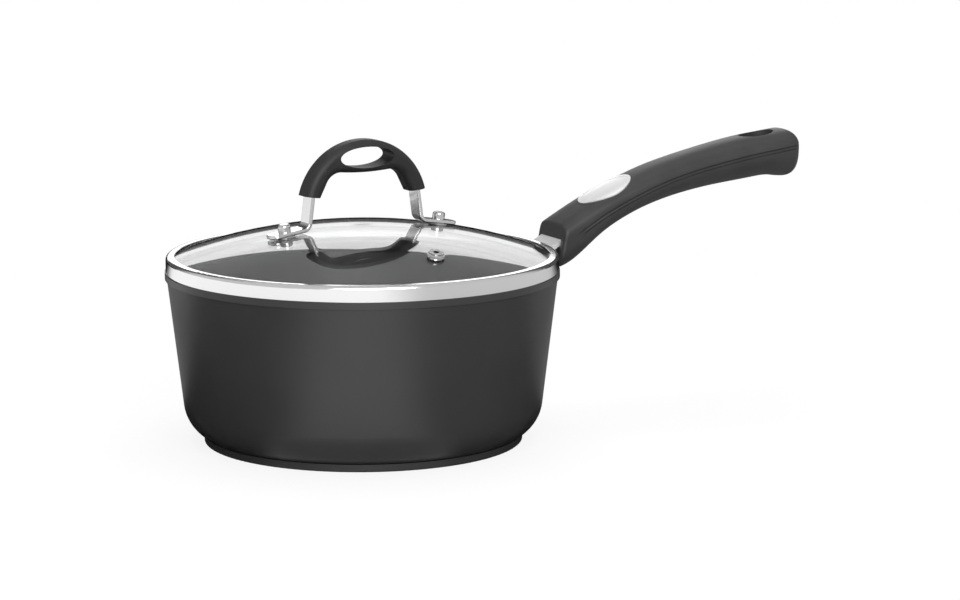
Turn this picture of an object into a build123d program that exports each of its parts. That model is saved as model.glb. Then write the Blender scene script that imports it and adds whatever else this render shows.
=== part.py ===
from build123d import *
from math import asin, atan2, cos, pi, radians, sin, sqrt, tan
import os

os.makedirs("parts", exist_ok=True)

# Pan: nominal 20 cm across the mouth, millimetres throughout.
pan_height = 90.0
rim_inner_radius = 100.0
pan_wall = 2.2
pan_floor = 3.5
wall_taper = 6.8
pan_corner_radius = 20.0
lip_height = 3.6
lip_overhang = 1.0
lip_round = 0.3
base_disc_thickness = 2.0
base_disc_edge = 4.0
base_disc_gap = 0.3
base_disc_round = 0.8

# Lid glass and its rolled steel rim.
lid_turn = 3.0
rim_sheet = 0.6
band_step = 0.5
band_corner = 2.0
band_foot = 1.6
skirt_depth = 5.0
skirt_clearance = 0.5
flange_reach = 4.5
flange_gap = 0.3
glass_thickness = 4.0
glass_curve_radius = 300.0
glass_edge_gap = 0.4
glass_seat_width = 1.5

# Lid fasteners.
bolt_spread = 44.6
bolt_diameter = 4.0
bolt_clearance = 0.3
bolt_head_radius = 4.5
bolt_head_height = 2.2
cap_nut_radius = 3.3
cap_nut_height = 4.0
cap_nut_round = 1.4
nut_roof = 1.2
foot_pad_radius = 5.0
foot_pad_thickness = 0.6
inner_washer_radius = 5.6
inner_washer_thickness = 1.2
dome_relief = 0.1

# Steam vent.
vent_radius = 67.0
vent_bearing = -81.0
vent_bore_radius = 1.5
vent_tube_radius = 2.6
vent_flange_radius = 4.0
vent_flange_thickness = 1.0
vent_gasket_radius = 4.6
vent_gasket_thickness = 0.6
vent_clearance = 0.4

# Lid handle: a moulded arch on two bent steel straps.
strap_width = 10.0
strap_thickness = 2.0
strap_edge_round = 0.6
strap_bend_radius = 4.0
foot_length = 9.6
foot_round = 4.0
leg_spread = 30.6
leg_lean = 7.7
leg_tang = 7.0
arch_end_rise = 16.5
arch_crown_rise = 44.5
arch_end_thickness = 9.2
arch_crown_thickness = 17.0
arch_sill_bulge = 1.4
arch_depth = 13.0
arch_inner_half_width = 19.5
arch_inner_round = 9.0
arch_edge_round = 4.0
arch_window_length = 31.0
arch_window_height = 11.0
arch_window_sill = 2.5
socket_clearance = 0.3

# Handle bracket: a steel strap riveted to the wall, with a tang for the grip.
bracket_width = 22.5
bracket_thickness = 2.5
bracket_gap = 0.3
bracket_low = 34.0
bracket_joggle = 14.0
bracket_lip_clearance = 0.8
bracket_knee = 4.0
bracket_slope = 30.0
bracket_tang_length = 52.0
bracket_bend = 3.0
rivet_diameter = 5.0
rivet_clearance = 0.3
rivet_head_radius = 4.2
rivet_head_thickness = 1.4
rivet_head_gap = 0.2
rivet_drops = (18.5, 28.5)

# Handle grip: stations as reach from the lip, crease height above the rim, lean of
# the section, half width, crown above and belly below the crease, corner squareness.
grip_stations = (
    (7.6, 7.2, 11.0, 15.5, 9.4, 14.4, 4.4),
    (14.0, 10.0, 7.0, 15.5, 10.1, 14.7, 4.2),
    (21.5, 14.0, 3.0, 15.5, 10.0, 13.1, 3.8),
    (31.5, 19.8, 0.0, 15.5, 9.2, 10.7, 3.4),
    (43.5, 25.6, 0.0, 15.5, 8.9, 9.7, 3.0),
    (61.5, 32.8, 0.0, 15.2, 9.3, 10.0, 2.6),
    (81.5, 38.9, 0.0, 15.0, 9.2, 11.1, 2.4),
    (103.5, 43.6, 0.0, 15.2, 9.5, 12.3, 2.3),
    (125.5, 47.4, 0.0, 15.8, 9.6, 13.7, 2.3),
    (137.0, 49.0, 0.0, 16.2, 9.2, 14.4, 2.4),
    (145.5, 50.1, 0.0, 16.2, 9.0, 16.2, 2.5),
)
grip_tip_reach = 8.9
grip_tip_inset = 0.6
grip_tip_edge = 4.5
grip_root_edge = 2.0
grip_groove_radius = 1.2
grip_groove_fade = 1.0
hang_hole_reach = 134.2
hang_hole_length = 21.0
hang_hole_width = 15.0

# Badge let into the crown of the grip.
badge_reach = 40.0
badge_length = 32.0
badge_width = 25.0
badge_height = 0.4
badge_depth = 1.2
badge_gap = 0.3
badge_rim = 1.6
badge_relief = 0.25

# Screw that holds the grip to the tang.
screw_reach = 42.0
screw_diameter = 5.0
screw_clearance = 0.4
screw_seat_depth = 2.6
screw_head_radius = 4.2
screw_head_height = 3.0
screw_slot_length = 5.4
screw_slot_width = 1.1
washer_radius = 5.0
washer_thickness = 1.0
tang_nut_flats = 8.0
tang_nut_height = 4.0

# Pan wall and rim, derived.
taper = tan(radians(wall_taper))
underside = base_disc_thickness
wall_rim_radius = rim_inner_radius + pan_wall
lip_radius = wall_rim_radius - lip_height * taper + lip_overhang
lip_base = pan_height - lip_height
floor_top = underside + pan_floor
inner_corner_radius = pan_corner_radius - pan_wall


def wall_outer(z):
    return wall_rim_radius - (pan_height - z) * taper


def wall_inner(z):
    return rim_inner_radius - (pan_height - z) * taper


# Base disc, derived: its upper edge follows the rounding of the pan's corner.
corner_height = underside + pan_corner_radius
corner_centre = wall_outer(corner_height) - pan_corner_radius / cos(radians(wall_taper))
disc_arc_radius = pan_corner_radius + base_disc_gap
disc_flat_radius = corner_centre + sqrt(disc_arc_radius**2 - pan_corner_radius**2)
base_disc_radius = corner_centre + sqrt(
    disc_arc_radius**2 - (corner_height - base_disc_edge) ** 2
)

# Lid, derived.
skirt_radius = wall_inner(pan_height - skirt_depth) - skirt_clearance
band_radius = lip_radius - band_step
web_low = pan_height + band_foot
seat_height = web_low + rim_sheet
glass_radius = band_radius - rim_sheet - glass_edge_gap
seat_radius = glass_radius - glass_seat_width
inner_curve_radius = glass_curve_radius - glass_thickness
dome_centre = seat_height - sqrt(inner_curve_radius**2 - seat_radius**2)
flange_inner_radius = band_radius - flange_reach


def dome_top(radius):
    return dome_centre + sqrt(glass_curve_radius**2 - radius**2)


def dome_plane(radius, bearing):
    slope = asin(radius / glass_curve_radius)
    out_x = cos(radians(bearing))
    out_y = sin(radians(bearing))
    return Plane(
        origin=(radius * out_x, radius * out_y, dome_top(radius)),
        x_dir=(cos(slope) * out_x, cos(slope) * out_y, -sin(slope)),
        z_dir=(sin(slope) * out_x, sin(slope) * out_y, cos(slope)),
    )


right_foot = dome_plane(bolt_spread, lid_turn)
left_foot = dome_plane(bolt_spread, lid_turn + 180.0)
vent_plane = dome_plane(vent_radius, vent_bearing)
bolt_radius = bolt_diameter / 2
bolt_hole_radius = bolt_radius + bolt_clearance
foot_top = foot_pad_thickness + strap_thickness
washer_top = -glass_thickness - dome_relief
bolt_head_top = washer_top - inner_washer_thickness
bolt_end = foot_top + cap_nut_height - nut_roof - bolt_clearance

# Lid handle, derived, in the upright plane through both bolts.
turn = radians(lid_turn)
arch_plane = Plane(
    origin=(0, 0, 0),
    x_dir=(cos(turn), sin(turn), 0),
    z_dir=(sin(turn), -cos(turn), 0),
)
apex = dome_top(0.0)
lean = radians(leg_lean)
foot_slope = asin(bolt_spread / glass_curve_radius)
foot_mid = foot_pad_thickness + strap_thickness / 2
foot_x = bolt_spread + foot_mid * sin(foot_slope)
foot_z = dome_top(bolt_spread) + foot_mid * cos(foot_slope)
arch_end_height = apex + arch_end_rise
arch_crown = apex + arch_crown_rise
arch_crown_inner = arch_crown - arch_crown_thickness
leg_drop = (arch_end_height - foot_z + (leg_spread - foot_x) * tan(foot_slope)) / (
    cos(lean) - sin(lean) * tan(foot_slope)
)
foot_end = (foot_x + foot_length * cos(foot_slope), foot_z - foot_length * sin(foot_slope))
leg_bend = (leg_spread + leg_drop * sin(lean), arch_end_height - leg_drop * cos(lean))
leg_top = (leg_spread - leg_tang * sin(lean), arch_end_height + leg_tang * cos(lean))
socket_top = (
    leg_spread - (leg_tang + socket_clearance) * sin(lean),
    arch_end_height + (leg_tang + socket_clearance) * cos(lean),
)
socket_low = (leg_spread + leg_tang * sin(lean), arch_end_height - leg_tang * cos(lean))
arch_end_half = arch_end_thickness / 2
arch_outer_end = (
    leg_spread + arch_end_half * cos(lean),
    arch_end_height + arch_end_half * sin(lean),
)
arch_inner_end = (
    leg_spread - arch_end_half * cos(lean),
    arch_end_height - arch_end_half * sin(lean),
)
arch_inner_corner = (arch_inner_half_width, arch_crown_inner + arch_sill_bulge)
window_height = arch_crown_inner + arch_window_sill + arch_window_height / 2


def mirrored(point):
    return (-point[0], point[1])


def strap_edges(strap_faces):
    across = strap_faces.sort_by(Axis((0, 0, 0), arch_plane.z_dir))
    side_edges = across[0].edges() + across[-1].edges()
    return side_edges.filter_by(lambda edge: edge.length > 2 * strap_thickness)


# Bracket, derived, in the upright plane through the handle.
slope = radians(bracket_slope)
half_bracket = bracket_thickness / 2
bracket_foot_z = pan_height - bracket_low
bracket_joggle_z = pan_height - bracket_joggle
bracket_upright = lip_radius + bracket_lip_clearance + half_bracket
bracket_knee_z = pan_height + bracket_knee
bracket_points = (
    (wall_outer(bracket_foot_z) + half_bracket, bracket_foot_z),
    (wall_outer(bracket_joggle_z) + half_bracket, bracket_joggle_z),
    (bracket_upright, lip_base),
    (bracket_upright, bracket_knee_z),
    (
        bracket_upright + bracket_tang_length * cos(slope),
        bracket_knee_z + bracket_tang_length * sin(slope),
    ),
)


def tang_plane(reach):
    return Plane(
        origin=(
            bracket_upright + reach * cos(slope),
            0,
            bracket_knee_z + reach * sin(slope),
        ),
        x_dir=(cos(slope), 0, sin(slope)),
        z_dir=(-sin(slope), 0, cos(slope)),
    )


screw_plane = tang_plane(screw_reach)
rivet_turn = radians(wall_taper)


def rivet_plane(drop):
    z = pan_height - drop
    return Plane(
        origin=(wall_outer(z), 0, z),
        x_dir=(0, 1, 0),
        z_dir=(cos(rivet_turn), 0, -sin(rivet_turn)),
    )


rivet_planes = [rivet_plane(drop) for drop in rivet_drops]
rivet_radius = rivet_diameter / 2
wall_across = pan_wall * cos(rivet_turn)

# Grip sections, derived.
grip_tip_climb = (grip_stations[-1][1] - grip_stations[-2][1]) / (
    grip_stations[-1][0] - grip_stations[-2][0]
)
ring = [pi * step / 10 - pi / 2 for step in range(20)]


def signed_power(value, power):
    if abs(value) < 1e-9:
        return 0.0
    return abs(value) ** power * (1 if value > 0 else -1)


def grip_outline(half_width, crown, belly, squareness):
    power = 2 / squareness
    points = []
    for angle in ring:
        reach = crown if sin(angle) > 0 else belly
        across = half_width * signed_power(cos(angle), power)
        points.append((across, reach * signed_power(sin(angle), power)))
    return points


def grown_outline(station, growth):
    half_width, crown, belly, squareness = station[3:]
    return grip_outline(half_width + growth, crown + growth, belly, squareness)


def station_plane(reach, rise, tilt):
    up = radians(tilt)
    return Plane(
        origin=(lip_radius + reach, 0, pan_height + rise),
        x_dir=(0, 1, 0),
        z_dir=(cos(up), 0, -sin(up)),
    )


def shifted(station, along, inset):
    reach, rise, tilt, half_width, crown, belly, squareness = station
    return (
        reach + along,
        rise + along * grip_tip_climb,
        tilt,
        half_width - inset,
        crown - inset,
        belly - inset,
        squareness,
    )


tip = grip_stations[-1]
grip_sections = grip_stations + (shifted(tip, grip_tip_reach, grip_tip_inset),)
grip_end = shifted(tip, 2 * grip_tip_reach, 0.0)


def groove_path(side):
    path = []
    for number, station in enumerate(grip_stations[1:] + (grip_end,)):
        outside = grip_groove_radius + grip_groove_fade if number == 0 else 0.0
        reach, rise, tilt, half_width = station[:4]
        path.append((lip_radius + reach, side * (half_width + outside), pan_height + rise))
    return path


badge_sections = grip_stations[1:7]


def station_at(reach, column):
    for near, far in zip(grip_stations, grip_stations[1:]):
        if near[0] <= reach <= far[0]:
            share = (reach - near[0]) / (far[0] - near[0])
            return near[column] + share * (far[column] - near[column])
    return tip[column]


def crown_height(reach):
    return pan_height + station_at(reach, 1) + station_at(reach, 4)


badge_tilt = atan2(
    crown_height(badge_reach + badge_length / 2) - crown_height(badge_reach - badge_length / 2),
    badge_length,
)
badge_plane = Plane(
    origin=(lip_radius + badge_reach, 0, crown_height(badge_reach)),
    x_dir=(cos(badge_tilt), 0, sin(badge_tilt)),
    z_dir=(-sin(badge_tilt), 0, cos(badge_tilt)),
)
badge_cut = badge_width / 2

with BuildPart() as pan_body:
    with BuildSketch(Plane.XZ):
        with BuildLine():
            Polyline(
                (0, underside),
                (wall_outer(underside), underside),
                (wall_outer(lip_base), lip_base),
                (lip_radius, lip_base),
                (lip_radius, pan_height),
                (rim_inner_radius, pan_height),
                (wall_inner(floor_top), floor_top),
                (0, floor_top),
                close=True,
            )
        make_face()
        outer_corner = (wall_outer(underside), underside)
        fillet(vertices().sort_by_distance(outer_corner)[0], radius=pan_corner_radius)
        inner_corner = (wall_inner(floor_top), floor_top)
        fillet(vertices().sort_by_distance(inner_corner)[0], radius=inner_corner_radius)
        lip_corner = (lip_radius, pan_height)
        fillet(vertices().sort_by_distance(lip_corner)[0], radius=lip_round)
        mouth_corner = (rim_inner_radius, pan_height)
        fillet(vertices().sort_by_distance(mouth_corner)[0], radius=lip_round)
    revolve(axis=Axis.Z)
    with BuildSketch(*rivet_planes):
        Circle(rivet_radius + rivet_clearance)
    extrude(amount=2 * pan_wall, both=True, mode=Mode.SUBTRACT)
pan_body.part.label = "pan_body"
export_step(pan_body.part, "parts/pan_body.step")

with BuildPart() as base_disc:
    with BuildSketch(Plane.XZ):
        with BuildLine():
            Line((0, underside), (0, 0))
            Line((0, 0), (base_disc_radius, 0))
            Line((base_disc_radius, 0), (base_disc_radius, base_disc_edge))
            RadiusArc(
                (base_disc_radius, base_disc_edge),
                (disc_flat_radius, underside),
                disc_arc_radius,
            )
            Line((disc_flat_radius, underside), (0, underside))
        make_face()
        disc_corner = (base_disc_radius, 0)
        fillet(vertices().sort_by_distance(disc_corner)[0], radius=base_disc_round)
    revolve(axis=Axis.Z)
base_disc.part.label = "base_disc"
export_step(base_disc.part, "parts/base_disc.step")

with BuildPart() as handle_bracket:
    with BuildSketch(Plane.XZ):
        with BuildLine():
            FilletPolyline(*bracket_points, radius=bracket_bend)
        trace(line_width=bracket_thickness)
    extrude(amount=bracket_width / 2, both=True)
    with BuildSketch(Plane.XZ):
        with BuildLine():
            Polyline(
                (0, 0),
                (wall_outer(0) + bracket_gap, 0),
                (wall_outer(lip_base) + bracket_gap, lip_base),
                (0, lip_base),
                close=True,
            )
        make_face()
    revolve(axis=Axis.Z, mode=Mode.SUBTRACT)
    with BuildSketch(*rivet_planes):
        Circle(rivet_radius + rivet_clearance)
    extrude(amount=3 * bracket_thickness, both=True, mode=Mode.SUBTRACT)
    with BuildSketch(screw_plane):
        Circle(screw_diameter / 2 + screw_clearance)
    extrude(amount=bracket_thickness, both=True, mode=Mode.SUBTRACT)
handle_bracket.part.label = "handle_bracket"
export_step(handle_bracket.part, "parts/handle_bracket.step")

with BuildPart() as bracket_rivets:
    with BuildSketch(*[plane.offset(bracket_thickness) for plane in rivet_planes]):
        Circle(rivet_head_radius)
    extrude(amount=rivet_head_thickness)
    with BuildSketch(*[plane.offset(bracket_thickness) for plane in rivet_planes]):
        Circle(rivet_radius)
    extrude(amount=-(bracket_thickness + wall_across + rivet_head_gap))
    inner_faces = [plane.offset(-wall_across - rivet_head_gap) for plane in rivet_planes]
    with BuildSketch(*inner_faces):
        Circle(rivet_head_radius)
    extrude(amount=-rivet_head_thickness)
bracket_rivets.part.label = "bracket_rivets"
export_step(bracket_rivets.part, "parts/bracket_rivets.step")

with BuildPart() as badge_pocket:
    with BuildSketch(badge_plane):
        Ellipse(badge_length / 2 + badge_gap, badge_width / 2 + badge_gap)
    extrude(amount=badge_cut, both=True)
    for station in badge_sections:
        with BuildSketch(station_plane(*station[:3])):
            with BuildLine():
                Spline(*grown_outline(station, -badge_depth), periodic=True)
            make_face()
    loft(mode=Mode.SUBTRACT)

with BuildPart() as badge_field:
    with BuildSketch(badge_plane):
        Ellipse(badge_length / 2 - badge_rim, badge_width / 2 - badge_rim)
    extrude(amount=badge_cut, both=True)
    for station in badge_sections:
        with BuildSketch(station_plane(*station[:3])):
            with BuildLine():
                Spline(*grown_outline(station, badge_height - badge_relief), periodic=True)
            make_face()
    loft(mode=Mode.SUBTRACT)

with BuildPart() as handle_grip:
    for station in grip_sections:
        with BuildSketch(station_plane(*station[:3])):
            with BuildLine():
                Spline(*grown_outline(station, 0.0), periodic=True)
            make_face()
    loft()
    fillet(faces().sort_by(Axis.X)[-1].edges(), radius=grip_tip_edge)
    fillet(faces().sort_by(Axis.X)[0].edges(), radius=grip_root_edge)
    for side in (1, -1):
        with BuildLine() as groove:
            Spline(*groove_path(side))
        with BuildSketch(Plane(origin=groove.line @ 0, z_dir=groove.line % 0)):
            Circle(grip_groove_radius)
        sweep(path=groove.line, mode=Mode.SUBTRACT)
    add(badge_pocket.part, mode=Mode.SUBTRACT)
    with BuildSketch(Plane.XY.offset(pan_height)):
        with Locations((lip_radius + hang_hole_reach, 0)):
            Ellipse(hang_hole_length / 2, hang_hole_width / 2)
    extrude(amount=pan_height, mode=Mode.SUBTRACT)
    with BuildSketch(tang_plane(0)):
        with Locations(((bracket_tang_length + socket_clearance) / 2, 0)):
            Rectangle(bracket_tang_length + socket_clearance, bracket_width + 2 * socket_clearance)
    extrude(amount=half_bracket + socket_clearance, both=True, mode=Mode.SUBTRACT)
    with BuildSketch(screw_plane):
        RegularPolygon(tang_nut_flats / 2 + screw_clearance, 6, major_radius=False)
    extrude(amount=pan_height / 2, mode=Mode.SUBTRACT)
    with BuildSketch(screw_plane):
        Circle(screw_diameter / 2 + screw_clearance)
    extrude(amount=-pan_height / 2, mode=Mode.SUBTRACT)
    with BuildSketch(screw_plane.offset(-half_bracket - screw_seat_depth)):
        Circle(washer_radius + screw_clearance)
    extrude(amount=-pan_height / 2, mode=Mode.SUBTRACT)
handle_grip.part.label = "handle_grip"
export_step(handle_grip.part, "parts/handle_grip.step")

with BuildPart() as handle_badge:
    for growth, combine in ((badge_height, Mode.ADD), (badge_gap - badge_depth, Mode.SUBTRACT)):
        for station in badge_sections:
            with BuildSketch(station_plane(*station[:3])):
                with BuildLine():
                    Spline(*grown_outline(station, growth), periodic=True)
                make_face()
        loft(mode=combine)
    with BuildSketch(badge_plane):
        Ellipse(badge_length / 2, badge_width / 2)
    extrude(amount=badge_cut, both=True, mode=Mode.INTERSECT)
    add(badge_field.part, mode=Mode.SUBTRACT)
handle_badge.part.label = "handle_badge"
export_step(handle_badge.part, "parts/handle_badge.step")

with BuildPart() as handle_screw_washer:
    with BuildSketch(screw_plane.offset(-half_bracket - screw_seat_depth)):
        Circle(washer_radius)
        Circle(screw_diameter / 2 + screw_clearance, mode=Mode.SUBTRACT)
    extrude(amount=-washer_thickness)
handle_screw_washer.part.label = "handle_screw_washer"
export_step(handle_screw_washer.part, "parts/handle_screw_washer.step")

screw_head_top = -half_bracket - screw_seat_depth - washer_thickness
screw_end = half_bracket + tang_nut_height
with BuildPart() as handle_screw:
    with BuildSketch(screw_plane.offset(screw_head_top)):
        Circle(screw_head_radius)
    extrude(amount=-screw_head_height)
    with BuildSketch(screw_plane.offset(screw_head_top)):
        Circle(screw_diameter / 2)
    extrude(amount=screw_end - screw_head_top)
    with BuildSketch(screw_plane.offset(screw_head_top - screw_head_height)):
        Rectangle(screw_slot_length, screw_slot_width)
        Rectangle(screw_slot_width, screw_slot_length)
    extrude(amount=screw_head_height / 2, mode=Mode.SUBTRACT)
handle_screw.part.label = "handle_screw"
export_step(handle_screw.part, "parts/handle_screw.step")

with BuildPart() as tang_nut:
    with BuildSketch(screw_plane.offset(half_bracket)):
        RegularPolygon(tang_nut_flats / 2, 6, major_radius=False)
        Circle(screw_diameter / 2 + screw_clearance, mode=Mode.SUBTRACT)
    extrude(amount=tang_nut_height)
tang_nut.part.label = "tang_nut"
export_step(tang_nut.part, "parts/tang_nut.step")

with BuildPart() as lid_glass:
    with BuildSketch(Plane.XZ):
        with BuildLine():
            RadiusArc(
                (0, dome_centre + inner_curve_radius),
                (seat_radius, seat_height),
                inner_curve_radius,
            )
            Line((seat_radius, seat_height), (glass_radius, seat_height))
            Line((glass_radius, seat_height), (glass_radius, dome_top(glass_radius)))
            RadiusArc((glass_radius, dome_top(glass_radius)), (0, apex), -glass_curve_radius)
            Line((0, apex), (0, dome_centre + inner_curve_radius))
        make_face()
    revolve(axis=Axis.Z)
    with BuildSketch(right_foot, left_foot):
        Circle(bolt_hole_radius)
    extrude(amount=2 * glass_thickness, both=True, mode=Mode.SUBTRACT)
    with BuildSketch(vent_plane):
        Circle(vent_tube_radius + vent_clearance)
    extrude(amount=2 * glass_thickness, both=True, mode=Mode.SUBTRACT)
lid_glass.part.label = "lid_glass"
export_step(lid_glass.part, "parts/lid_glass.step")

band_inner = band_radius - rim_sheet
rim_top = dome_top(flange_inner_radius) + flange_gap + rim_sheet
flange_low = rim_top - rim_sheet
with BuildPart() as lid_rim:
    with BuildSketch(Plane.XZ):
        with BuildLine():
            Polyline(
                (skirt_radius, pan_height - skirt_depth),
                (skirt_radius, web_low),
                (band_inner, web_low),
                (band_inner, pan_height),
                (band_radius, pan_height),
                (band_radius, rim_top),
                (flange_inner_radius, rim_top),
                (flange_inner_radius, flange_low),
                (band_inner, flange_low),
                (band_inner, seat_height),
                (skirt_radius - rim_sheet, seat_height),
                (skirt_radius - rim_sheet, pan_height - skirt_depth),
                close=True,
            )
        make_face()
        outer_bend = (band_radius, rim_top)
        fillet(vertices().sort_by_distance(outer_bend)[0], radius=band_corner)
        inner_bend = (band_inner, flange_low)
        fillet(vertices().sort_by_distance(inner_bend)[0], radius=band_corner - rim_sheet)
    revolve(axis=Axis.Z)
lid_rim.part.label = "lid_rim"
export_step(lid_rim.part, "parts/lid_rim.step")

with BuildPart() as lid_handle_grip:
    with BuildSketch(arch_plane):
        with BuildLine():
            ThreePointArc(mirrored(arch_outer_end), (0, arch_crown), arch_outer_end)
            Line(arch_outer_end, arch_inner_end)
            Line(arch_inner_end, arch_inner_corner)
            ThreePointArc(arch_inner_corner, (0, arch_crown_inner), mirrored(arch_inner_corner))
            Line(mirrored(arch_inner_corner), mirrored(arch_inner_end))
            Line(mirrored(arch_inner_end), mirrored(arch_outer_end))
        make_face()
        for corner in (arch_inner_corner, mirrored(arch_inner_corner)):
            fillet(vertices().sort_by_distance(corner)[0], radius=arch_inner_round)
    extrude(amount=arch_depth / 2, both=True)
    arch_faces = lid_handle_grip.faces().sort_by(Axis((0, 0, 0), arch_plane.z_dir))
    for face in (arch_faces[0], arch_faces[-1]):
        fillet(face.edges().sort_by(Axis.Z)[2:], radius=arch_edge_round)
    with BuildSketch(arch_plane):
        with Locations((0, window_height)):
            Ellipse(arch_window_length / 2, arch_window_height / 2)
    extrude(amount=arch_depth, both=True, mode=Mode.SUBTRACT)
    with BuildSketch(arch_plane):
        with BuildLine():
            Polyline(socket_low, socket_top)
        trace(line_width=strap_thickness + 2 * socket_clearance)
        with BuildLine():
            Polyline(mirrored(socket_low), mirrored(socket_top))
        trace(line_width=strap_thickness + 2 * socket_clearance)
    extrude(amount=strap_width / 2 + socket_clearance, both=True, mode=Mode.SUBTRACT)
lid_handle_grip.part.label = "lid_handle_grip"
export_step(lid_handle_grip.part, "parts/lid_handle_grip.step")

with BuildPart() as lid_handle_leg_right:
    with BuildSketch(arch_plane):
        with BuildLine():
            FilletPolyline(foot_end, leg_bend, leg_top, radius=strap_bend_radius)
        trace(line_width=strap_thickness)
    extrude(amount=strap_width / 2, both=True)
    fillet(edges().filter_by(Axis(right_foot.origin, right_foot.z_dir)), radius=foot_round)
    fillet(strap_edges(faces()), radius=strap_edge_round)
    with BuildSketch(right_foot):
        Circle(bolt_hole_radius)
    extrude(amount=2 * foot_top, mode=Mode.SUBTRACT)
lid_handle_leg_right.part.label = "lid_handle_leg_right"
export_step(lid_handle_leg_right.part, "parts/lid_handle_leg_right.step")

with BuildPart() as lid_handle_leg_left:
    with BuildSketch(arch_plane):
        with BuildLine():
            FilletPolyline(
                mirrored(foot_end), mirrored(leg_bend), mirrored(leg_top), radius=strap_bend_radius
            )
        trace(line_width=strap_thickness)
    extrude(amount=strap_width / 2, both=True)
    fillet(edges().filter_by(Axis(left_foot.origin, left_foot.z_dir)), radius=foot_round)
    fillet(strap_edges(faces()), radius=strap_edge_round)
    with BuildSketch(left_foot):
        Circle(bolt_hole_radius)
    extrude(amount=2 * foot_top, mode=Mode.SUBTRACT)
lid_handle_leg_left.part.label = "lid_handle_leg_left"
export_step(lid_handle_leg_left.part, "parts/lid_handle_leg_left.step")

with BuildPart() as lid_foot_pads:
    with BuildSketch(right_foot, left_foot):
        Circle(foot_pad_radius)
        Circle(bolt_hole_radius, mode=Mode.SUBTRACT)
    extrude(amount=foot_pad_thickness)
lid_foot_pads.part.label = "lid_foot_pads"
export_step(lid_foot_pads.part, "parts/lid_foot_pads.step")

with BuildPart() as lid_inner_washers:
    with BuildSketch(right_foot.offset(washer_top), left_foot.offset(washer_top)):
        Circle(inner_washer_radius)
        Circle(bolt_hole_radius, mode=Mode.SUBTRACT)
    extrude(amount=-inner_washer_thickness)
lid_inner_washers.part.label = "lid_inner_washers"
export_step(lid_inner_washers.part, "parts/lid_inner_washers.step")

with BuildPart() as lid_bolts:
    with BuildSketch(right_foot.offset(bolt_head_top), left_foot.offset(bolt_head_top)):
        Circle(bolt_head_radius)
    extrude(amount=-bolt_head_height)
    with BuildSketch(right_foot.offset(bolt_head_top), left_foot.offset(bolt_head_top)):
        Circle(bolt_radius)
    extrude(amount=bolt_end - bolt_head_top)
lid_bolts.part.label = "lid_bolts"
export_step(lid_bolts.part, "parts/lid_bolts.step")

with BuildPart() as lid_cap_nuts:
    with BuildSketch(right_foot.offset(foot_top), left_foot.offset(foot_top)):
        Circle(cap_nut_radius)
    extrude(amount=cap_nut_height)
    nut_tops = lid_cap_nuts.faces().filter_by(GeomType.PLANE).sort_by(Axis.Z)[-2:]
    fillet(nut_tops.edges(), radius=cap_nut_round)
    with BuildSketch(right_foot.offset(foot_top), left_foot.offset(foot_top)):
        Circle(bolt_hole_radius)
    extrude(amount=cap_nut_height - nut_roof, mode=Mode.SUBTRACT)
lid_cap_nuts.part.label = "lid_cap_nuts"
export_step(lid_cap_nuts.part, "parts/lid_cap_nuts.step")

with BuildPart() as vent_gasket:
    with BuildSketch(vent_plane):
        Circle(vent_gasket_radius)
        Circle(vent_tube_radius + vent_clearance, mode=Mode.SUBTRACT)
    extrude(amount=vent_gasket_thickness)
vent_gasket.part.label = "vent_gasket"
export_step(vent_gasket.part, "parts/vent_gasket.step")

vent_low = -glass_thickness - dome_relief - vent_flange_thickness
vent_high = vent_gasket_thickness + vent_flange_thickness
with BuildPart() as vent_eyelet:
    with BuildSketch(vent_plane.offset(vent_gasket_thickness)):
        Circle(vent_flange_radius)
    extrude(amount=vent_flange_thickness)
    with BuildSketch(vent_plane.offset(vent_low)):
        Circle(vent_tube_radius)
    extrude(amount=vent_high - vent_low)
    with BuildSketch(vent_plane.offset(vent_low)):
        Circle(vent_flange_radius)
    extrude(amount=vent_flange_thickness)
    with BuildSketch(vent_plane.offset(vent_low)):
        Circle(vent_bore_radius)
    extrude(amount=vent_high - vent_low, mode=Mode.SUBTRACT)
vent_eyelet.part.label = "vent_eyelet"
export_step(vent_eyelet.part, "parts/vent_eyelet.step")
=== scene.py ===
import math

import bpy
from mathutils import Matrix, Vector

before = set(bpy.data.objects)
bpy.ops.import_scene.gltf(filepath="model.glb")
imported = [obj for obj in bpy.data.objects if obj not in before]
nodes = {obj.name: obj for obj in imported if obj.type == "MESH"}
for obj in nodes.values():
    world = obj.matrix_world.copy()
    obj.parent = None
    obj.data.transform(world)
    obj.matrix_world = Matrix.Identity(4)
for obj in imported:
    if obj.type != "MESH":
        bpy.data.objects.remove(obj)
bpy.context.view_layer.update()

# Camera, fitted to the photograph's outline of the rim, the base and the handle.
CAMERA_PLACE = Vector((-0.7331, -1.60865, 0.38383))
CAMERA_AIM = Vector((0.05795, -0.02072, 0.07203))
CAMERA_LENS = 128.925
SENSOR_WIDTH = 36.0
VIEW = CAMERA_AIM - CAMERA_PLACE
AHEAD = Vector((VIEW.x, VIEW.y, 0.0)).normalized()
RIGHT = Vector((AHEAD.y, -AHEAD.x, 0.0))
UP = Vector((0.0, 0.0, 1.0))
TO_HANDLE = Vector((1.0, 0.0, 0.0))

# Square soft boxes: one in front, higher than the camera, and one above the pan that no
# mirror or glass shows.
KEY_PLACE = Vector((-0.5, -1.7, 0.9))
KEY_AIM = Vector((0.0, 0.0, 0.06))
KEY_SIDE, KEY_POWER = 1.4, 26.0
TOP_PLACE = Vector((0.1, 0.2, 1.6))
TOP_AIM = Vector((0.05, 0.0, 0.05))
TOP_SIDE, TOP_POWER = 1.2, 22.0

# Soft fill for everything that isn't a mirror, brightest from the handle's side.
FILL_DIM, FILL_BRIGHT = 0.2, 0.65

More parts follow.
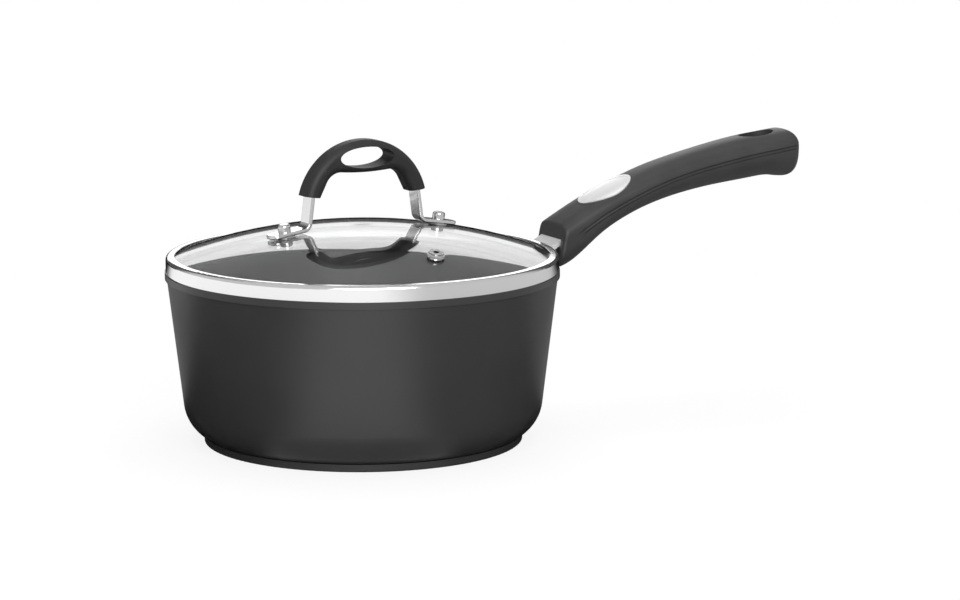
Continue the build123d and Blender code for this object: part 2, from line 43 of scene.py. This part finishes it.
# The room as mirrors see it: white panels behind and in front of the pan between two
# heights, narrower towards their tops and streaked along their length, a wall that is dim
# behind the pan and paler elsewhere, and a pale ceiling. Heights are angles above the
# horizon.
PANEL_LOW, PANEL_TOP = 6.0, 29.5
PANEL_TAPER = 3.2
PANEL_EDGE = 0.01
PANEL_DIM, PANEL_BRIGHT = 1.6, 3.6
STREAK_SCALE, STREAK_SQUEEZE = 2.0, (1.0, 1.0, 14.0)
STREAK_START, STREAK_END, STREAK_DIM = 0.35, 0.65, 0.88
WALL_GREY, WALL_TOP = 0.10, 32.0
FRONT_GREY, FRONT_FULL, FRONT_END = 0.7, 0.4, 0.8
CEILING_GREY, CEILING_LOW = 0.60, 55.0

# The floor lies just under the base disc. It glows, less so near the pan, where the
# shadow falls.
FLOOR_SIZE = 40.0
FLOOR_DROP = 0.0002
FLOOR_GREY, FLOOR_ROUGH = 0.86, 0.9
GLOW_NEAR, GLOW_START, GLOW_FULL = 0.88, 0.2, 0.7

# The floor's glow as mirrors see it, all painted: painted dark flags on both sides of the
# pan's front half, a painted dark zone far behind it, painted shade close behind it and
# at its front foot, and a painted fall in brightness to the right.
FLOOR_FADE = 0.1
PAINTED_FLAG_START, PAINTED_FLAG_FULL = 0.24, 0.68
PAINTED_FLAG_REACH, PAINTED_FLAG_BACK = 0.42, 0.05
FAR_START = 0.42
CORNER_START, CORNER_END = 0.11, 0.17
BACK_START, BACK_WIDTH, BACK_SHADE = -0.05, 0.3, 0.68
FOOT_START, FOOT_END, FOOT_SHADE = 0.11, 0.15, 0.75
FALL_START, FALL_END, FALL_GREY = 0.1, 0.4, 0.6

# Finishes go from their low to their high value over this band of a noise pattern.
NOISE_LOW, NOISE_HIGH = 0.3, 0.7

# Lines in steel: how much their noise is squeezed along each axis.
ROUND_LINES = (1.0, 1.0, 60.0)
UPRIGHT_LINES = (40.0, 40.0, 1.0)
BADGE_LINES = (1.0, 50.0, 1.0)

# Glass: its two tints, and painted shade that darkens it where it is seen edge on, standing in for
# internal reflection.
GLASS_DULL, GLASS_CLEAR = (0.95, 0.97, 0.965), (0.985, 0.99, 0.988)
GLASS_ROUGH = (0.0, 0.004)
GLASS_IOR = 1.5
EDGE_START, EDGE_FULL, PAINTED_EDGE_GREY = 0.83, 0.9, 0.03


def grey(value):
    return (value, value, value)


def rise(angle):
    """How far a direction at this angle above the horizon climbs."""
    return math.sin(math.radians(angle))


def material(name):
    """A new node material: its tree and its Principled shader."""
    made = bpy.data.materials.new(name)
    made.use_nodes = True
    return made, made.node_tree, made.node_tree.nodes["Principled BSDF"]


def feed(tree, socket, value):
    """A socket takes another socket's output, or a plain number."""
    if isinstance(value, bpy.types.NodeSocket):
        tree.links.new(value, socket)
    else:
        socket.default_value = value


def maths(tree, operation, first, second=0.0):
    made = tree.nodes.new("ShaderNodeMath")
    made.operation = operation
    feed(tree, made.inputs[0], first)
    feed(tree, made.inputs[1], second)
    return made.outputs["Value"]


def product(tree, first, *others):
    for other in others:
        first = maths(tree, "MULTIPLY", first, other)
    return first


def greatest(tree, first, *others):
    for other in others:
        first = maths(tree, "MAXIMUM", first, other)
    return first


def along(tree, vector, direction):
    """How far a vector goes along a direction."""
    made = tree.nodes.new("ShaderNodeVectorMath")
    made.operation = "DOT_PRODUCT"
    feed(tree, made.inputs[0], vector)
    feed(tree, made.inputs[1], direction)
    return made.outputs["Value"]


def map_range(tree, value, start, stop, low, high):
    """A node whose result goes from low to high as the value goes from start to stop."""
    made = tree.nodes.new("ShaderNodeMapRange")
    feed(tree, made.inputs["Value"], value)
    made.inputs["From Min"].default_value = start
    made.inputs["From Max"].default_value = stop
    made.inputs["To Min"].default_value = low
    made.inputs["To Max"].default_value = high
    return made


def step(tree, value, start, stop, low=0.0, high=1.0):
    """A smooth step from low to high as the value goes from start to stop."""
    made = map_range(tree, value, start, stop, low, high)
    made.interpolation_type = "SMOOTHSTEP"
    return made.outputs["Result"]


def fade(tree, value, start, stop):
    """A smooth step down from 1 to 0 as the value goes from start to stop."""
    return step(tree, value, start, stop, 1.0, 0.0)


def blend(tree, factor, first, second):
    made = tree.nodes.new("ShaderNodeMixShader")
    feed(tree, made.inputs["Fac"], factor)
    tree.links.new(first, made.inputs[1])
    tree.links.new(second, made.inputs[2])
    return made.outputs["Shader"]


def noise(tree, scale, detail, roughness=0.5, squeeze=(1.0, 1.0, 1.0), over="Object"):
    """Noise over the object's own coordinates, or over the world's directions."""
    where = tree.nodes.new("ShaderNodeTexCoord")
    mapping = tree.nodes.new("ShaderNodeMapping")
    mapping.inputs["Scale"].default_value = squeeze
    tree.links.new(where.outputs[over], mapping.inputs["Vector"])
    made = tree.nodes.new("ShaderNodeTexNoise")
    made.inputs["Scale"].default_value = scale
    made.inputs["Detail"].default_value = detail
    made.inputs["Roughness"].default_value = roughness
    tree.links.new(mapping.outputs["Vector"], made.inputs["Vector"])
    return made.outputs["Fac"]


def ramp(tree, pattern, low, high):
    """A colour that follows a noise pattern from low to high."""
    made = tree.nodes.new("ShaderNodeValToRGB")
    made.color_ramp.elements[0].position = NOISE_LOW
    made.color_ramp.elements[1].position = NOISE_HIGH
    made.color_ramp.elements[0].color = (*low, 1.0)
    made.color_ramp.elements[1].color = (*high, 1.0)
    tree.links.new(pattern, made.inputs["Fac"])
    return made.outputs["Color"]


def roughen(tree, shader, pattern, rough):
    """Roughness that follows a noise pattern from its low to its high value."""
    made = map_range(tree, pattern, NOISE_LOW, NOISE_HIGH, *rough)
    tree.links.new(made.outputs["Result"], shader.inputs["Roughness"])


def shade(tree, shader, pattern, tone, rough):
    """Grey tone and roughness that follow one noise pattern."""
    low, high = tone
    tree.links.new(ramp(tree, pattern, grey(low), grey(high)), shader.inputs["Base Color"])
    roughen(tree, shader, pattern, rough)


def bump(tree, shader, height, strength, distance):
    made = tree.nodes.new("ShaderNodeBump")
    made.inputs["Strength"].default_value = strength
    made.inputs["Distance"].default_value = distance
    tree.links.new(height, made.inputs["Height"])
    tree.links.new(made.outputs["Normal"], shader.inputs["Normal"])


def coating(name, tone, rough, gloss):
    """Satin sprayed coating: a fine even grain with a slow drift in tone and gloss."""
    made, tree, shader = material(name)
    drift = noise(tree, scale=14.0, detail=2.0)
    grain = noise(tree, scale=2600.0, detail=2.0)
    shade(tree, shader, drift, tone, rough)
    shader.inputs["Specular IOR Level"].default_value = gloss
    bump(tree, shader, grain, strength=0.18, distance=0.00008)
    return made


def moulded(name, tone, rough, gloss):
    """Moulded phenolic: fine spark-eroded grain and a faint mottle."""
    made, tree, shader = material(name)
    mottle = noise(tree, scale=60.0, detail=3.0)
    grain = noise(tree, scale=3200.0, detail=3.0, roughness=0.6)
    shade(tree, shader, mottle, tone, rough)
    shader.inputs["Specular IOR Level"].default_value = gloss
    bump(tree, shader, grain, strength=0.25, distance=0.00006)
    return made


def steel(name, squeeze, tone, rough, scale=220.0, metal=1.0):
    """Polished or brushed steel: fine lines that run across the squeezed axes."""
    made, tree, shader = material(name)
    lines = noise(tree, scale, detail=6.0, roughness=0.65, squeeze=squeeze)
    shade(tree, shader, lines, tone, rough)
    shader.inputs["Metallic"].default_value = metal
    bump(tree, shader, lines, strength=0.05, distance=0.00004)
    return made


def clear_glass(name):
    """Toughened glass with a trace of wiped haze, and painted shade where it is seen edge on."""
    made, tree, shader = material(name)
    haze = noise(tree, scale=35.0, detail=5.0, roughness=0.7)
    facing = tree.nodes.new("ShaderNodeLayerWeight").outputs["Facing"]
    tint_and_edge_shade = tree.nodes.new("ShaderNodeMix")
    tint_and_edge_shade.data_type = "RGBA"
    # Painted shade: the glass turns dark grey where it is seen edge on, in place of internal
    # reflection.
    feed(tree, tint_and_edge_shade.inputs["Factor"], step(tree, facing, EDGE_START, EDGE_FULL))
    sockets = {socket.identifier: socket for socket in (*tint_and_edge_shade.inputs, *tint_and_edge_shade.outputs)}
    tree.links.new(ramp(tree, haze, GLASS_DULL, GLASS_CLEAR), sockets["A_Color"])
    sockets["B_Color"].default_value = (*grey(PAINTED_EDGE_GREY), 1.0)
    tree.links.new(sockets["Result_Color"], shader.inputs["Base Color"])
    roughen(tree, shader, haze, GLASS_ROUGH)
    shader.inputs["Transmission Weight"].default_value = 1.0
    shader.inputs["IOR"].default_value = GLASS_IOR
    return made


def silicone(name, tone, rough):
    """Grey silicone with a dusty bloom."""
    made, tree, shader = material(name)
    bloom = noise(tree, scale=300.0, detail=3.0)
    shade(tree, shader, bloom, tone, rough)
    bump(tree, shader, bloom, strength=0.1, distance=0.00005)
    return made


pan_coating = coating("pan_coating", tone=(0.028, 0.033), rough=(0.30, 0.35), gloss=0.45)
base_coating = coating("base_coating", tone=(0.026, 0.032), rough=(0.42, 0.5), gloss=0.45)
grip_plastic = moulded("grip_plastic", tone=(0.028, 0.035), rough=(0.42, 0.5), gloss=0.45)
lid_grip_plastic = moulded("lid_grip_plastic", tone=(0.017, 0.022), rough=(0.46, 0.54), gloss=0.35)
rim_steel = steel("rim_steel", ROUND_LINES, tone=(0.88, 0.94), rough=(0.10, 0.16))
leg_steel = steel("leg_steel", UPRIGHT_LINES, tone=(0.74, 0.82), rough=(0.06, 0.12))
nut_steel = steel("nut_steel", ROUND_LINES, tone=(0.74, 0.82), rough=(0.06, 0.1), scale=500.0)
vent_steel = steel("vent_steel", ROUND_LINES, tone=(0.7, 0.78), rough=(0.08, 0.14), scale=500.0)
fastener_steel = steel("fastener_steel", ROUND_LINES, tone=(0.6, 0.7), rough=(0.2, 0.3), scale=500.0)
bracket_steel = steel("bracket_steel", UPRIGHT_LINES, tone=(0.76, 0.84), rough=(0.22, 0.32), metal=0.5)
badge_chrome = steel(
    "badge_chrome", BADGE_LINES, tone=(0.8, 0.87), rough=(0.3, 0.4), scale=120.0, metal=0.5
)
glass = clear_glass("lid_glass")
rubber = silicone("silicone", tone=(0.32, 0.42), rough=(0.45, 0.6))

FINISHES = {
    "pan_body": pan_coating,
    "base_disc": base_coating,
    "handle_bracket": bracket_steel,
    "bracket_rivets": fastener_steel,
    "handle_grip": grip_plastic,
    "handle_badge": badge_chrome,
    "handle_screw": fastener_steel,
    "handle_screw_washer": fastener_steel,
    "tang_nut": fastener_steel,
    "lid_glass": glass,
    "lid_rim": rim_steel,
    "vent_eyelet": vent_steel,
    "vent_gasket": rubber,
    "lid_handle_grip": lid_grip_plastic,
    "lid_handle_leg_left": leg_steel,
    "lid_handle_leg_right": leg_steel,
    "lid_bolts": fastener_steel,
    "lid_cap_nuts": nut_steel,
    "lid_foot_pads": rubber,
    "lid_inner_washers": rubber,
}
for node, finish in FINISHES.items():
    mesh = nodes[node].data
    mesh.materials.clear()
    mesh.materials.append(finish)

# Flat faces keep their own normals next to a bend, so reflections run clean along it.
nodes["lid_rim"].modifiers.new("even_normals", "WEIGHTED_NORMAL").keep_sharp = True


def backdrop(tree, strength):
    made = tree.nodes.new("ShaderNodeBackground")
    feed(tree, made.inputs["Strength"], strength)
    return made.outputs["Background"]


def ray_kinds(tree):
    """Whether a ray is seen by the eye, also through glass, and whether a mirror sent it."""
    light = tree.nodes.new("ShaderNodeLightPath").outputs
    through_glass = light["Is Transmission Ray"]
    shown = greatest(tree, light["Is Camera Ray"], through_glass)
    mirrored = maths(tree, "GREATER_THAN", light["Is Glossy Ray"], through_glass)
    return shown, mirrored


def mirrored_room(tree, direction):
    """How bright mirrors see the room in a direction."""
    height = along(tree, direction, UP)
    back_wall = step(tree, height, rise(WALL_TOP), rise(CEILING_LOW), WALL_GREY, CEILING_GREY)
    ahead = along(tree, direction, AHEAD)
    front_wall = step(tree, ahead, FRONT_FULL, FRONT_END, FRONT_GREY, 0.0)
    aside = along(tree, direction, RIGHT)
    tapered = maths(tree, "ADD", height, product(tree, aside, aside, PANEL_TAPER))
    panel_top = fade(tree, tapered, rise(PANEL_TOP), rise(PANEL_TOP) + PANEL_EDGE)
    panel_low = step(tree, height, rise(PANEL_LOW) - PANEL_EDGE, rise(PANEL_LOW))
    glow = step(tree, height, rise(PANEL_LOW), rise(PANEL_TOP), PANEL_DIM, PANEL_BRIGHT)
    clouds = noise(tree, STREAK_SCALE, detail=3.0, squeeze=STREAK_SQUEEZE, over="Generated")
    streaks = step(tree, clouds, STREAK_START, STREAK_END, STREAK_DIM, 1.0)
    panel = product(tree, panel_top, panel_low, glow, streaks)
    return greatest(tree, back_wall, front_wall, panel)


def studio_world():
    """White to the eye and through glass, a dim room in mirrors, soft fill for the rest."""
    world = bpy.data.worlds.new("studio")
    world.use_nodes = True
    bpy.context.scene.world = world
    tree = world.node_tree
    tree.nodes.remove(tree.nodes["Background"])
    direction = tree.nodes.new("ShaderNodeTexCoord").outputs["Generated"]
    sideways = along(tree, direction, TO_HANDLE)
    fill = backdrop(tree, step(tree, sideways, -1.0, 1.0, FILL_DIM, FILL_BRIGHT))
    shown, mirrored = ray_kinds(tree)
    unseen = blend(tree, mirrored, fill, backdrop(tree, mirrored_room(tree, direction)))
    surface = blend(tree, shown, unseen, backdrop(tree, 1.0))
    tree.links.new(surface, tree.nodes["World Output"].inputs["Surface"])


def painted_floor_reflection(tree, place, reach):
    """The floor's painted glow in mirrors at a place, at this reach from the pan's axis."""
    ahead = along(tree, place, AHEAD)
    aside = along(tree, place, RIGHT)
    off_axis = maths(tree, "ABSOLUTE", aside)
    # Painted dark flags beside the pan's front half, and a painted dark zone far behind it.
    beside = step(tree, maths(tree, "DIVIDE", off_axis, reach), PAINTED_FLAG_START, PAINTED_FLAG_FULL)
    near = fade(tree, reach, PAINTED_FLAG_REACH, PAINTED_FLAG_REACH + FLOOR_FADE)
    front = fade(tree, ahead, PAINTED_FLAG_BACK, PAINTED_FLAG_BACK + FLOOR_FADE)
    painted_flags = product(tree, beside, near, front)
    far = step(tree, ahead, FAR_START, FAR_START + FLOOR_FADE)
    corner = fade(tree, maths(tree, "SUBTRACT", off_axis, ahead), CORNER_START, CORNER_END)
    far_zone = product(tree, far, corner)
    # Painted shade close behind the pan and at its front foot, and a painted fall to the right.
    back = step(tree, ahead, BACK_START, BACK_START + FLOOR_FADE, 0.0, BACK_SHADE)
    close = fade(tree, off_axis, BACK_WIDTH, BACK_WIDTH + FLOOR_FADE)
    behind = product(tree, back, close)
    foot = step(tree, reach, FOOT_START, FOOT_END, FOOT_SHADE, 0.0)
    painted_contact_shade = product(tree, foot, fade(tree, ahead, -FLOOR_FADE, 0.0))
    dark = greatest(tree, painted_flags, far_zone, behind, painted_contact_shade)
    fall = step(tree, aside, FALL_START, FALL_END, 1.0, FALL_GREY)
    return product(tree, maths(tree, "SUBTRACT", 1.0, dark), fall)


def studio_floor():
    """A pale floor that keeps a soft shadow, and glows in mirrors with painted dark zones and painted
    shade.
    """
    bpy.ops.mesh.primitive_plane_add(size=FLOOR_SIZE, location=(0, 0, -FLOOR_DROP))
    floor = bpy.context.object
    floor.name = "studio_floor"
    made, tree, shader = material("studio_floor")
    shader.inputs["Base Color"].default_value = (*grey(FLOOR_GREY), 1.0)
    shader.inputs["Roughness"].default_value = FLOOR_ROUGH
    shader.inputs["Specular IOR Level"].default_value = 0.0
    place = tree.nodes.new("ShaderNodeNewGeometry").outputs["Position"]
    reach = maths(tree, "SQRT", along(tree, place, place))
    shown, mirrored = ray_kinds(tree)
    shine = step(tree, reach, GLOW_START, GLOW_FULL, GLOW_NEAR, 1.0)
    share = greatest(tree, product(tree, shown, shine), mirrored)
    # Painted darkness that mirrors see on the glowing floor.
    painted_darkness = maths(tree, "SUBTRACT", 1.0, painted_floor_reflection(tree, place, reach))
    glow = tree.nodes.new("ShaderNodeEmission")
    strength = maths(tree, "SUBTRACT", 1.0, product(tree, mirrored, painted_darkness))
    tree.links.new(strength, glow.inputs["Strength"])
    surface = blend(tree, share, shader.outputs["BSDF"], glow.outputs["Emission"])
    tree.links.new(surface, tree.nodes["Material Output"].inputs["Surface"])
    floor.data.materials.append(made)


def put(name, data, place, aim):
    """A lamp or camera at a place, turned to what it aims at."""
    made = bpy.data.objects.new(name, data)
    bpy.context.scene.collection.objects.link(made)
    made.location = place
    made.rotation_euler = (aim - place).to_track_quat("-Z", "Y").to_euler()
    return made


def softbox(name, place, aim, side, power, mirrored):
    lamp = bpy.data.lights.new(name, "AREA")
    lamp.shape = "SQUARE"
    lamp.size = side
    lamp.energy = power
    made = put(name, lamp, place, aim)
    made.visible_camera = False
    made.visible_glossy = mirrored
    made.visible_transmission = mirrored


def studio_camera():
    lens = bpy.data.cameras.new("camera")
    lens.lens = CAMERA_LENS
    lens.sensor_width = SENSOR_WIDTH
    bpy.context.scene.camera = put("camera", lens, CAMERA_PLACE, CAMERA_AIM)


studio_world()
studio_floor()
softbox("key_softbox", KEY_PLACE, KEY_AIM, KEY_SIDE, KEY_POWER, mirrored=True)
softbox("top_softbox", TOP_PLACE, TOP_AIM, TOP_SIDE, TOP_POWER, mirrored=False)
studio_camera()
bpy.context.scene.view_settings.view_transform = "Standard"
